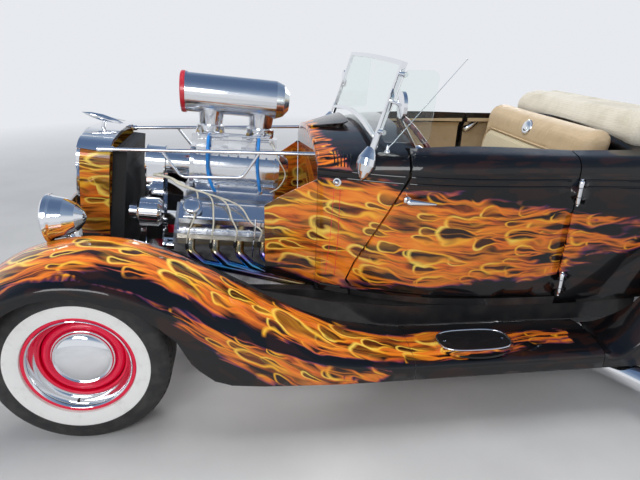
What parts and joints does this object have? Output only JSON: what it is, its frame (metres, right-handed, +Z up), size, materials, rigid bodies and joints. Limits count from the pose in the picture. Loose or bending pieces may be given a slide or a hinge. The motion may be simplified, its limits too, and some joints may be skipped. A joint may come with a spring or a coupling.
{
  "type": "hot rod roadster",
  "caption": "Open two-seat hot rod roadster with full fenders, running boards, a raked windshield and a supercharged V8 standing in the open between grille shell and cowl.",
  "frame": {"origin": "on the floor, midway along, between the wheels of both sides", "axes": "+Z up, the car faces -X, its left side is at -Y and its right side at +Y"},
  "size_m": [3.8964, 1.9098, 1.4599],
  "materials": {
    "body_paint": "gloss black with painted flames",
    "frame_paint": "satin black",
    "wheel_paint": "gloss red",
    "chrome": "polished",
    "polished_alloy": "polished",
    "cast_block": "satin",
    "tyre": "matte with a white side wall",
    "glass": "clear",
    "leather": "satin tan",
    "canvas": "matte cream",
    "wheel_rim": "gloss dark red",
    "lamp_red": "red lens",
    "core_black": "matte",
    "header_steel": "heat-blued"
  },
  "bodies": {
    "chassis": {"air_scoop": "polished_alloy", "alternator": "chrome", "blower": "polished_alloy", "carburettors": "polished_alloy", "cowl": "body_paint", "crossmembers": "frame_paint", "engine_block": "cast_block", "exhaust_pipes": "chrome", "floor": "frame_paint", "frame_rail_left": "frame_paint", "frame_rail_right": "frame_paint", "front_axle": "chrome", "front_drive": "chrome", "front_fender_left": "body_paint", "front_fender_right": "body_paint", "front_spring": "frame_paint", "fuel_tank": "frame_paint", "glass": "glass", "grille": "chrome", "grille_shell": "body_paint", "headers": "header_steel", "headlamps": "chrome", "hood_sides": "body_paint", "intake_manifold": "polished_alloy", "ornament": "chrome", "plate_bracket": "frame_paint", "radiator": "core_black", "rear_axle": "frame_paint", "rear_body": "body_paint", "rear_fender_left": "body_paint", "rear_fender_right": "body_paint", "running_board_left": "body_paint", "running_board_right": "body_paint", "seat_back": "leather", "seat_cushion": "leather", "side_aprons": "frame_paint", "steering_column": "chrome", "support_rods": "chrome", "suspension_links": "frame_paint", "tail_lamps": "lamp_red", "top_boot": "canvas", "valve_covers": "polished_alloy", "windshield_frame": "chrome"},
    "steer_left_body": {"knuckle_left": "chrome"},
    "steer_right_body": {"knuckle_right": "chrome"},
    "tie_rod_body": {"tie_rod": "chrome"},
    "wheel_front_left_body": {"wheel_front_left": "wheel_paint", "tyre_front_left": "tyre"},
    "wheel_front_right_body": {"wheel_front_right": "wheel_paint", "tyre_front_right": "tyre"},
    "wheel_rear_left_body": {"wheel_rear_left": "wheel_paint", "tyre_rear_left": "tyre"},
    "wheel_rear_right_body": {"wheel_rear_right": "wheel_paint", "tyre_rear_right": "tyre"},
    "steering_wheel_body": {"steering_wheel": "wheel_rim"},
    "door_left_body": {"door_left": "body_paint"},
    "door_right_body": {"door_right": "body_paint"},
    "decklid_body": {"decklid": "body_paint"}
  },
  "joints": [
    {"name": "steer_left", "type": "hinge", "parent": "chassis", "child": "steer_left_body", "pos_m": [-1.4685, -0.596, 0.343], "axis": [0, 0, 1], "range_deg": [-28, 28]},
    {"name": "steer_right", "type": "hinge", "parent": "chassis", "child": "steer_right_body", "pos_m": [-1.4685, 0.596, 0.343], "axis": [0, 0, 1], "range_deg": [-28, 28]},
    {"name": "tie_rod_pivot", "type": "hinge", "parent": "steer_left_body", "child": "tie_rod_body", "pos_m": [-1.3185, -0.57, 0.268], "axis": [0, 0, 1], "range_deg": [-28, 28]},
    {"name": "steering_wheel_turn", "type": "hinge", "parent": "chassis", "child": "steering_wheel_body", "pos_m": [-0.0335, -0.287, 1.062], "axis": [0.8192, 0, 0.5736], "range_deg": [-340, 340]},
    {"name": "wheel_front_left_spin", "type": "hinge", "parent": "steer_left_body", "child": "wheel_front_left_body", "pos_m": [-1.4685, -0.685, 0.343], "axis": [0, 1, 0], "continuous": true},
    {"name": "wheel_front_right_spin", "type": "hinge", "parent": "steer_right_body", "child": "wheel_front_right_body", "pos_m": [-1.4685, 0.685, 0.343], "axis": [0, 1, 0], "continuous": true},
    {"name": "wheel_rear_left_spin", "type": "hinge", "parent": "chassis", "child": "wheel_rear_left_body", "pos_m": [1.3765, -0.66, 0.368], "axis": [0, 1, 0], "continuous": true},
    {"name": "wheel_rear_right_spin", "type": "hinge", "parent": "chassis", "child": "wheel_rear_right_body", "pos_m": [1.3765, 0.66, 0.368], "axis": [0, 1, 0], "continuous": true},
    {"name": "door_left_hinge", "type": "hinge", "parent": "chassis", "child": "door_left_body", "pos_m": [0.5155, -0.671, 0.763], "axis": [0, 0, 1], "range_deg": [0, 65]},
    {"name": "door_right_hinge", "type": "hinge", "parent": "chassis", "child": "door_right_body", "pos_m": [0.5155, 0.671, 0.763], "axis": [0, 0, -1], "range_deg": [0, 65]},
    {"name": "decklid_hinge", "type": "hinge", "parent": "chassis", "child": "decklid_body", "pos_m": [1.2095, 0, 1.16], "axis": [0, -1, 0], "range_deg": [0, 55]}
  ],
  "couplings": [
    {"joint": "steer_right", "follows": "steer_left", "ratio": 1},
    {"joint": "tie_rod_pivot", "follows": "steer_left", "ratio": -1},
    {"joint": "steering_wheel_turn", "follows": "steer_left", "ratio": 12}
  ]
}
